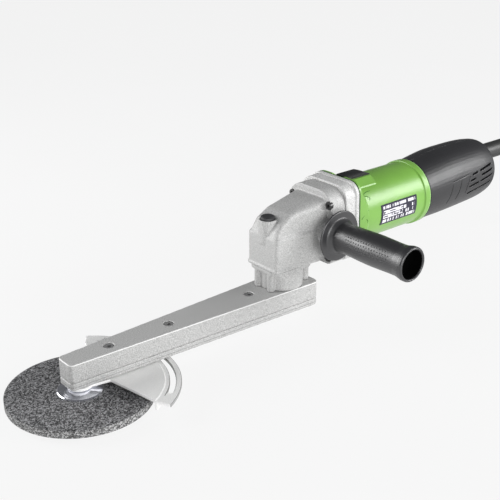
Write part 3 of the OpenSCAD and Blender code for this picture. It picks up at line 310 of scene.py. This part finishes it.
WHEEL_R = 0.075
WHEEL_RIM_BAND = 0.0006
# Colours of the grit, from its dark grains to its light specks, on the faces and in a lighter band at the rim
GRIT_FACE = [(0.1, (0.02, 0.02, 0.021)), (0.5, (0.115, 0.115, 0.118)), (0.95, (0.37, 0.37, 0.38))]
GRIT_RIM = [(0.1, (0.06, 0.06, 0.06)), (0.5, (0.18, 0.18, 0.18)), (0.95, (0.5, 0.5, 0.5))]


def abrasive_finish():
    """Bonded grit: dark grains with light specks, lighter in a thin band at the rim."""
    f = Finish("abrasive_grit", Specular_IOR_Level=0.3)
    cells = f.add("ShaderNodeTexVoronoi", {"Vector": f.place, "Scale": 850})
    speck = f.axis("X", cells.outputs["Color"])
    dark = f.ramp(speck, GRIT_FACE)
    rim = f.ramp(speck, GRIT_RIM)
    f.colour(f.over(dark, rim, f.maths("GREATER_THAN", f.distance("XY", (0, 0)), WHEEL_R - WHEEL_RIM_BAND)))
    f.roughness(f.spread(speck, 0.75, 0.95))
    f.bump((cells.outputs["Distance"], 0.0003), (speck, 0.0002))
    return f.material


# Rows of marks on the rating plate: (bottom, top, scale of the noise, its level where a mark shows, end).
# Bottom, top and end are shares of the plate. The shift gives each row its own part of the noise.
PLATE_ROWS = [
    (0.78, 0.92, 34, 0.45, 0.95), (0.64, 0.70, 22, 0.42, 0.6), (0.53, 0.59, 24, 0.4, 0.6),
    (0.42, 0.48, 20, 0.42, 0.6), (0.52, 0.68, 12, 0.5, 0.93), (0.30, 0.36, 26, 0.38, 0.6),
    (0.08, 0.24, 26, 0.47, 0.95), (0.30, 0.46, 16, 0.5, 0.93)]
PLATE_START = 0.05
ROW_SHIFT = (7, 3)
PLATE_FILM = [(0.3, (0.018, 0.017, 0.035)), (0.7, (0.026, 0.024, 0.05))]
PLATE_MARKS = (0.78, 0.77, 0.82)


def plate_finish():
    """The rating plate: a dark film with rows of plain pale marks that spell nothing."""
    f = Finish("plate_film", Roughness=0.3, Specular_IOR_Level=0.5)
    place = f.coordinates.outputs["Generated"]
    along = f.axis("X", place)
    up = f.axis("Z", place)
    marks = None
    for low, high, scale, level, end in PLATE_ROWS:
        shift = (low*ROW_SHIFT[0], low*ROW_SHIFT[1], 0)
        own_part = {"Vector": place, "Location": shift, "Scale": (1, 0, 0)}
        spots = f.add("ShaderNodeMapping", own_part).outputs["Vector"]
        noise = f.add("ShaderNodeTexNoise", {"Vector": spots, "Scale": scale, "Detail": 1.0})
        row = f.maths("MULTIPLY", f.between(up, low, high), f.between(along, PLATE_START, end))
        row = f.maths("MULTIPLY", row, f.maths("GREATER_THAN", noise.outputs["Fac"], level))
        marks = row if marks is None else f.maths("MAXIMUM", marks, row)
    f.colour(f.over(f.ramp(f.noise(30), PLATE_FILM), PLATE_MARKS, marks))
    f.bump((f.noise(1500, 2), 0.000008))
    return f.material


# Bands that the finishes darken or lighten, some of them dark seams and some painted shade or painted
# highlights: two limits along X or Z, or of the distance from a wheel's or screw's axis
CASE_SEAM_X = (0.3332, 0.3338)
HEAD_SEAM_Z = (0.0757, 0.0764)
COLLAR_SEAMS_Z = [(0.0498, 0.0506), (0.0754, 0.0764)]
# Painted highlight: a lighter band round the arm just under its top edge, for the light that the edge catches
ARM_EDGE_HIGHLIGHT_Z = (0.0487, 0.0495)
COVER_SEAM_Z = (0.0245, 0.0248)
ARM_SCREWS_X = (0.036, 0.1105, 0.2215)
# Painted shade: a dark ring on the arm round each screw head, for the gap round the head
SCREW_GAP_SHADE_R = (0.0046, 0.0056)
# Painted shade on the walls of the guard's slot and of its outer rim
SLOT_INNER_R = (0.0893, 0.0902)
SLOT_OUTER_R = (0.0958, 0.0966)
SLOT_ENDS_Y = (-0.0735, 0.0655)
GUARD_RIM_R = (0.1012, 0.1022)
# Painted shade: a dark green band on the housing where it meets the gear case
HOUSING_GAP_SHADE_X = (0.3555, 0.3574)
# Painted highlight: a light green band on the housing's rear lip
HOUSING_LIP_HIGHLIGHT_X = (0.4806, 0.4822)
WHEEL_AXIS = (0, 0)
# Shades of the bands, as shares of the finish's colour
SEAM_SHADE = 0.2
# Painted highlight on the arm's top edge
EDGE_PAINTED_HIGHLIGHT = 1.7
# Painted shade round the arm's screw heads
SCREW_GAP_PAINTED_SHADE = 0.12
# Painted shade on the walls of the guard's slot and of its outer rim
SLOT_PAINTED_SHADE = 0.25
RIM_PAINTED_SHADE = 0.4
BLACK = (0.017, 0.017, 0.019)
SMOOTH_CAST = 0.00005

# A finish for each material slot of the record
FINISHES = {
    "cast_aluminium": cast_finish("cast_metal"),
    "steel": turned_finish("turned_steel", (0.55, 0.56, 0.58), rough=0.32),
    "polished_steel": turned_finish("polished_flange", (0.86, 0.87, 0.93), rough=0.16),
    "black_screw": metal_finish("black_oxide", (0.02, 0.02, 0.022), metallic=0.6, rough=0.4, grain=400,
                                depth=0.00002),
    "abrasive": abrasive_finish(),
    "green_plastic": plastic_finish(
        "green_shell", (0.18, 0.4, 0.06), rough=0.38, depth=0.00002, coat=0.5,
        # Painted shade at the housing's joint with the gear case, and a painted highlight on its rear lip
        bands=[(*HOUSING_GAP_SHADE_X, (0.02, 0.07, 0.01)), (*HOUSING_LIP_HIGHLIGHT_X, (0.3, 0.6, 0.18))]),
    "black_plastic": plastic_finish("black_moulding", BLACK, rough=0.42, depth=0.00008, grain=1000,
                                    specular=1.0),
    "black_rubber": plastic_finish("cord_rubber", (0.02, 0.02, 0.02), rough=0.45, depth=0.00004,
                                   specular=0.8),
    "laminations": metal_finish("lamination_stack", (0.2, 0.2, 0.21), metallic=0.9, rough=0.5, grain=700,
                                depth=0.00006),
    "copper": metal_finish("enamelled_copper", (0.55, 0.2, 0.08), metallic=0.95, rough=0.3, grain=400,
                           depth=0.00006, fine=1500),
    "brass": turned_finish("brass_sheet", (0.75, 0.53, 0.22), rough=0.28),
    "carbon": plastic_finish("brush_carbon", (0.02, 0.02, 0.022), rough=0.6, depth=0.00005),
    "plate_film": plate_finish(),
    "board": plastic_finish("circuit_board", (0.02, 0.12, 0.04), rough=0.4, depth=0.00003)}
# Nodes with a finish of their own
NODE_FINISHES = {
    "gear_case": cast_finish("cast_case", ("X", *CASE_SEAM_X, SEAM_SHADE), tone=1.3),
    "gear_head": cast_finish("cast_head", ("Z", *HEAD_SEAM_Z, SEAM_SHADE)),
    "collar": cast_finish("cast_collar", *[("Z", *seam, SEAM_SHADE) for seam in COLLAR_SEAMS_Z]),
    "arm_upper_housing": cast_finish(
        # Painted highlight under the arm's top edge
        "cast_arm", ("Z", *ARM_EDGE_HIGHLIGHT_Z, EDGE_PAINTED_HIGHLIGHT),
        # Painted shade round the arm's screw heads
        *[((x, 0), *SCREW_GAP_SHADE_R, SCREW_GAP_PAINTED_SHADE) for x in ARM_SCREWS_X], depth=SMOOTH_CAST),
    "arm_lower_cover": cast_finish("cast_cover", ("Z", *COVER_SEAM_Z, SEAM_SHADE), depth=SMOOTH_CAST),
    "switch_knob": plastic_finish("knob_moulding", (0.008, 0.008, 0.009), rough=0.5, depth=0.00005,
                                  specular=0.5),
    "rear_handle_left": plastic_finish("rear_moulding", BLACK, rough=0.42, depth=0.00013, grain=1000,
                                       specular=0.75),
    "gear_case_screws": metal_finish("dark_screw", (0.09, 0.09, 0.09), metallic=0.7, rough=0.32, grain=400,
                                     depth=0.00002),
    "guard": metal_finish(
        "guard_paint", (0.86, 0.86, 0.85), metallic=0.15, rough=0.5, grain=300, depth=0.00006, fine=700,
        speckle=0.12,
        # Painted shade on the walls of the slot and of the outer rim
        seams_and_painted_light=[(WHEEL_AXIS, *SLOT_INNER_R, SLOT_PAINTED_SHADE, *SLOT_ENDS_Y),
               (WHEEL_AXIS, *SLOT_OUTER_R, RIM_PAINTED_SHADE, *SLOT_ENDS_Y), (WHEEL_AXIS, *GUARD_RIM_R, RIM_PAINTED_SHADE)]),
    "arm_screws": metal_finish("plated_screw", (0.4, 0.4, 0.4), metallic=0.7, rough=0.4, grain=400,
                               depth=0.00002),
    "side_handle_grip": plastic_finish("grip_moulding", BLACK, rough=0.37, depth=0.00008, grain=1000,
                                       specular=1.0)}
NODE_FINISHES["rear_handle_right"] = NODE_FINISHES["rear_handle_left"]


def paint(piece, material):
    if not piece.data.materials:
        piece.data.materials.append(material)
        return
    for slot in piece.material_slots:
        slot.material = material


def soften(piece, voxel, rounds):
    """Rounds the edges of a casting or moulding, as its mould leaves them; the voxel is in millimetres."""
    remesh = piece.modifiers.new("mould_skin", "REMESH")
    remesh.mode = "VOXEL"
    remesh.voxel_size = voxel*MM
    remesh.use_smooth_shade = True
    smooth = piece.modifiers.new("mould_radius", "SMOOTH")
    smooth.factor = 0.5
    smooth.iterations = rounds


def round_edges(piece, width):
    """Breaks the sharp edges of a moulded piece; the width is in millimetres."""
    bevel = piece.modifiers.new("edge_break", "BEVEL")
    bevel.width = width*MM
    bevel.segments = 2
    bevel.limit_method = "ANGLE"
    bevel.angle_limit = math.radians(40)
    bevel.harden_normals = True


# Castings and mouldings: the voxel of their skin in millimetres, and how often it is smoothed
CASTINGS = {
    "gear_head": (0.7, 8), "gear_case": (0.7, 5), "collar": (0.6, 7), "arm_upper_housing": (0.7, 14),
    "arm_lower_cover": (0.7, 14), "guard": (0.5, 3), "motor_housing": (0.6, 3), "rear_handle_left": (0.5, 3),
    "rear_handle_right": (0.5, 3), "side_handle_grip": (0.6, 3)}
KNOB_EDGE_MM = 0.5

for name, (voxel, rounds) in CASTINGS.items():
    soften(nodes[name], voxel, rounds)
round_edges(nodes["switch_knob"], KNOB_EDGE_MM)
for entry in frame["record"]["subparts"]:
    paint(nodes[entry["node"]], NODE_FINISHES.get(entry["node"], FINISHES[entry["material_slot"]]))
paint(mains_cord, FINISHES["black_rubber"])


# Small moulded details that the CAD leaves to this script, and near-black pieces of painted shade
def mesh_piece(name, vertices, faces, slot, material):
    """A smooth piece that rides on the tool's body."""
    data = bpy.data.meshes.new(name)
    data.from_pydata([tuple(v) for v in vertices], [], faces)
    data.update()
    for face in data.polygons:
        face.use_smooth = True
    piece = bpy.data.objects.new(name, data)
    bpy.context.collection.objects.link(piece)
    paint(piece, material)
    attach(piece, "tool_body")


def circle(sides):
    """The cosine and sine of each of a circle's evenly spaced angles."""
    return [(math.cos(2*math.pi*k/sides), math.sin(2*math.pi*k/sides)) for k in range(sides)]


def band_faces(rings, sides, start=0, closed=False):
    """The faces between rings of vertices, and from the last ring to the first where the band is closed."""
    faces = []
    for i in range(rings if closed else rings - 1):
        near = start + i*sides
        far = start + ((i + 1) % rings)*sides
        for k in range(sides):
            after = (k + 1) % sides
            faces.append((near + k, near + after, far + after, far + k))
    return faces


def tube_mesh(paths, radius, sides=6):
    """One mesh with a thin round bead along each path."""
    vertices = []
    faces = []
    for path in paths:
        start = len(vertices)
        for i, point in enumerate(path):
            ahead = (path[min(i + 1, len(path) - 1)] - path[max(i - 1, 0)]).normalized()
            side = ahead.orthogonal().normalized()
            other = ahead.cross(side)
            for c, s in circle(sides):
                vertices.append(point + radius*(c*side + s*other))
        faces.extend(band_faces(len(path), sides, start))
        faces.append(tuple(range(start + sides - 1, start - 1, -1)))
        faces.append(tuple(range(len(vertices) - sides, len(vertices))))
    return vertices, faces


MOTOR_Z_MM = 113.4
MOTOR_Z = MOTOR_Z_MM*MM
MOTOR_R = 39*MM
CURL_LIFT = 0.05*MM
CURL_BEAD_R = 0.4*MM
# Curls moulded in the near side of the housing, as (X, height over the motor's axis) in millimetres, and
# mirrored on the far side
HOUSING_CURLS = [
    [(385.4, 28.8), (379.5, 28.8), (375.2, 28), (372, 26.8), (371.9, 25.3), (372.7, 24.2)],
    [(371.9, 26.3), (376.6, 24.8), (380, 22.5), (378.6, 20.4)],
    [(370.3, 12.8), (372.4, 11.2), (371.1, 9.2), (363.9, 5.6), (360.2, 2.7)],
    [(368.8, 0.8), (370.4, -1.5), (370.2, -4)],
    [(364.2, 16.9), (361.5, 13.9)]]


def on_housing(x, up, side):
    r = MOTOR_R + CURL_LIFT
    return Vector((x*MM, side*math.sqrt(r*r - (up*MM)**2), MOTOR_Z + up*MM))


def make_curls():
    """Thin beads along the housing's curls."""
    paths = []
    for side in (-1, 1):
        for curl in HOUSING_CURLS:
            points = smoothed([Vector((x, up, 0)) for x, up in curl])
            paths.append([on_housing(p.x, p.y, side) for p in points])
    shade = plastic_finish("moulded_line", (0.03, 0.13, 0.012), rough=0.6, depth=0.00002)
    mesh_piece("housing_curls", *tube_mesh(paths, CURL_BEAD_R), "green_plastic", shade)


def between_points(x, points):
    """The height at x of the straight lines through some points."""
    for (x0, y0), (x1, y1) in zip(points, points[1:]):
        if x <= x1:
            return y0 + (y1 - y0)*(x - x0)/(x1 - x0)
    return points[-1][1]


# The rear handle in millimetres, from the part's source: its front's X, its sections as (distance from its
# front, lift of its centre, radius), and its grooves as points (distance from its front, height over the
# motor's axis)
HANDLE_START = 482
HANDLE_SECTIONS = [(16, 1, 39.8), (50, 3.4, 41.6), (92, 4.6, 41), (114, 4.9, 39.9)]
HANDLE_LINES = [
    [(43.2, 9.3), (36.3, -15.6)], [(59.6, 11), (52.6, -13.7)], [(77.5, 13.6), (72.1, 2.3), (69.6, -8.4)],
    [(41.5, 12.1), (74.7, 15.5)]]
LINE_STEPS = 12
LINE_DEPTH_MM = 0.35
LINE_BEAD_R = 0.42*MM
SAME_PLACE = 0.1*MM


def groove_path(line, side):
    """The bottom of a groove on one side of the rear handle."""
    lifts = [(x, lift) for x, lift, r in HANDLE_SECTIONS]
    radii = [(x, r) for x, lift, r in HANDLE_SECTIONS]
    path = []
    for (x0, z0), (x1, z1) in zip(line, line[1:]):
        for i in range(LINE_STEPS + 1):
            x = x0 + (x1 - x0)*i/LINE_STEPS
            z = z0 + (z1 - z0)*i/LINE_STEPS
            r = between_points(x, radii) - LINE_DEPTH_MM
            y = side*math.sqrt(r*r - (z - between_points(x, lifts))**2)
            point = Vector((HANDLE_START + x, y, MOTOR_Z_MM + z))*MM
            if not path or (point - path[-1]).length > SAME_PLACE:
                path.append(point)
    return path


def make_handle_lines():
    """Dark beads in the bottoms of the moulded grooves of the rear handle's sides."""
    paths = [groove_path(line, side) for side in (-1, 1) for line in HANDLE_LINES]
    shade = plastic_finish("groove_shade", (0.004, 0.004, 0.004), rough=0.8, depth=0.00002, specular=0.1)
    mesh_piece("handle_lines", *tube_mesh(paths, LINE_BEAD_R), "black_plastic", shade)


# The painted shade ring's section round the motor's axis, as (X, radius) in millimetres
SHADE_RING_PROFILE = [(482.05, 38.2), (482.05, 40.3), (482.6, 40.7), (483.6, 40.5), (484.2, 39.6), (484.2, 38.2)]
SHADE_RING_SIDES = 96


def make_joint_shade_ring():
    """A near-black ring where the housing meets the rear handle: painted shade for the dark line at that
    joint.
    """
    vertices = [(x*MM, r*MM*c, MOTOR_Z + r*MM*s) for x, r in SHADE_RING_PROFILE for c, s in circle(SHADE_RING_SIDES)]
    faces = band_faces(len(SHADE_RING_PROFILE), SHADE_RING_SIDES, closed=True)
    shade = plastic_finish("joint_shade_ring", (0.004, 0.004, 0.004), rough=0.5, depth=0.00002)
    mesh_piece("handle_joint_shade_ring", vertices, faces, "black_plastic", shade)


# The side handle: the X and Z of its axis and the Y of its open end. In millimetres, from the part's source:
# how far its grip starts from the motor's axis, and the grip's radius as (distance from that start, radius).
GRIP_AXIS = (0.314, 0.111)
GRIP_END = -0.1562
GRIP_START_MM = 38.2
GRIP_RADII = [(24, 17.1), (35, 17.4), (48, 17.9), (62, 18.3), (70, 18.3), (81, 18), (94, 17.6), (103, 17.6)]
# Its bumps, in millimetres: each ring of a bump is (share of its radius, height over the grip). The tilts of
# the rows are in degrees from level.
BUMP_START_MM = 72
BUMP_PITCH_MM = 3.8
BUMP_R_MM = 0.95
BUMP_RINGS = [(1, -0.25), (0.85, 0.3), (0.5, 0.5)]
BUMP_SIDES = 8
BUMP_TILTS = (36, 24, 12, 0)
BUMPS_IN_ROW = 17


def add_bump(vertices, faces, centre, out, around):
    """Adds one small round bump, on the surface that faces outwards at its centre."""
    start = len(vertices)
    for width, rise in BUMP_RINGS:
        for c, s in circle(BUMP_SIDES):
            across = c*around + Vector((0, s, 0))
            vertices.append(centre + MM*(width*BUMP_R_MM*across + rise*out))
    faces.extend(band_faces(len(BUMP_RINGS), BUMP_SIDES, start))
    faces.append(tuple(range(len(vertices) - BUMP_SIDES, len(vertices))))


def make_bumps():
    """Rows of small bumps on the side handle's grip, on its two sides."""
    vertices = []
    faces = []
    for turn in (0, 180):
        for row, tilt in enumerate(BUMP_TILTS):
            a = math.radians(180 - tilt - turn)
            out = Vector((math.cos(a), 0, math.sin(a)))
            around = Vector((-math.sin(a), 0, math.cos(a)))
            for i in range(BUMPS_IN_ROW):
                along = BUMP_START_MM + BUMP_PITCH_MM*i + BUMP_PITCH_MM/2*(row % 2)
                r = between_points(along - GRIP_START_MM, GRIP_RADII)
                centre = Vector((GRIP_AXIS[0], -along*MM, GRIP_AXIS[1])) + out*r*MM
                add_bump(vertices, faces, centre, out, around)
    mesh_piece("grip_bumps", vertices, faces, "black_plastic", NODE_FINISHES["side_handle_grip"])


# The painted shade's section round the side handle's axis, as (radius, depth from the open end) in
# millimetres
BORE_SHADE_PROFILE = [(16.05, 1.7), (15.4, 13), (14.8, 13.7), (0.01, 13.75)]
BORE_SHADE_SIDES = 64


def make_bore_shade():
    """A near-black, dull lining inside the side handle's open end: painted shade for the darkness of its deep
    bore.
    """
    vertices = [(GRIP_AXIS[0] + r*MM*c, GRIP_END + depth*MM, GRIP_AXIS[1] + r*MM*s)
                for r, depth in BORE_SHADE_PROFILE for c, s in circle(BORE_SHADE_SIDES)]
    faces = band_faces(len(BORE_SHADE_PROFILE), BORE_SHADE_SIDES)
    shade = plastic_finish("bore_painted_shade", (0.0012, 0.0012, 0.0012), rough=0.95, depth=0.00002, specular=0.02)
    mesh_piece("grip_bore_shade", vertices, faces, "black_plastic", shade)


make_curls()
make_handle_lines()
make_joint_shade_ring()
make_bumps()
make_bore_shade()

# Stage: a pale floor, three soft lights and a pale surround
FLOOR_SIZE = 8
FLOOR_PLACE = (0.3, 0, -0.0005)
FLOOR_GLOW = 0.875
FLOOR_SHADES = [(0.3, (0.048, 0.048, 0.048)), (0.7, (0.054, 0.054, 0.054))]
SURROUND_LIGHT = (0.95, 0.97, 1, 1)
SURROUND_STRENGTH = 0.14
BACKGROUND = (0.905, 0.905, 0.905, 1)


def make_stage():
    bpy.ops.mesh.primitive_plane_add(size=FLOOR_SIZE, location=FLOOR_PLACE)
    floor = bpy.context.object
    floor.name = "floor"
    f = Finish("pale_floor", Roughness=0.9, Specular_IOR_Level=0.1, Emission_Color=(1, 1, 1, 1),
               Emission_Strength=FLOOR_GLOW)
    f.colour(f.ramp(f.noise(3, 2), FLOOR_SHADES))
    paint(floor, f.material)


def add_light(name, place, size, power, aim=LOOK_AT, height=None):
    """A soft light: round, or a strip where a height is given."""
    data = bpy.data.lights.new(name, "AREA")
    data.shape = "RECTANGLE" if height else "DISK"
    data.size = size
    if height:
        data.size_y = height
    data.energy = power
    light = bpy.data.objects.new(name, data)
    light.location = place
    light.rotation_euler = (Vector(place) - aim).to_track_quat("Z", "Y").to_euler()
    bpy.context.collection.objects.link(light)


def make_world():
    """A dim light from all round, with a pale background for the camera alone."""
    world = bpy.data.worlds.new("surround")
    world.use_nodes = True
    bpy.context.scene.world = world
    tree = world.node_tree
    tree.nodes.clear()
    output = tree.nodes.new("ShaderNodeOutputWorld")
    mix = tree.nodes.new("ShaderNodeMixShader")
    light = tree.nodes.new("ShaderNodeBackground")
    seen = tree.nodes.new("ShaderNodeBackground")
    path = tree.nodes.new("ShaderNodeLightPath")
    light.inputs["Color"].default_value = SURROUND_LIGHT
    light.inputs["Strength"].default_value = SURROUND_STRENGTH
    seen.inputs["Color"].default_value = BACKGROUND
    seen.inputs["Strength"].default_value = 1
    tree.links.new(path.outputs["Is Camera Ray"], mix.inputs["Fac"])
    tree.links.new(light.outputs["Background"], mix.inputs[1])
    tree.links.new(seen.outputs["Background"], mix.inputs[2])
    tree.links.new(mix.outputs["Shader"], output.inputs["Surface"])


make_stage()
add_light("front", place=(-0.3, -1.5, 0.55), size=1.1, power=18.5)
add_light("strip", place=(1.35, -1.03, 0.74), size=1.1, power=20, aim=Vector((0.45, 0, 0.11)), height=0.6)
add_light("behind", place=(-0.55, 0.95, 0.52), size=0.9, power=16)
make_world()
bpy.context.scene.view_settings.view_transform = "Standard"

bpy.context.view_layer.update()
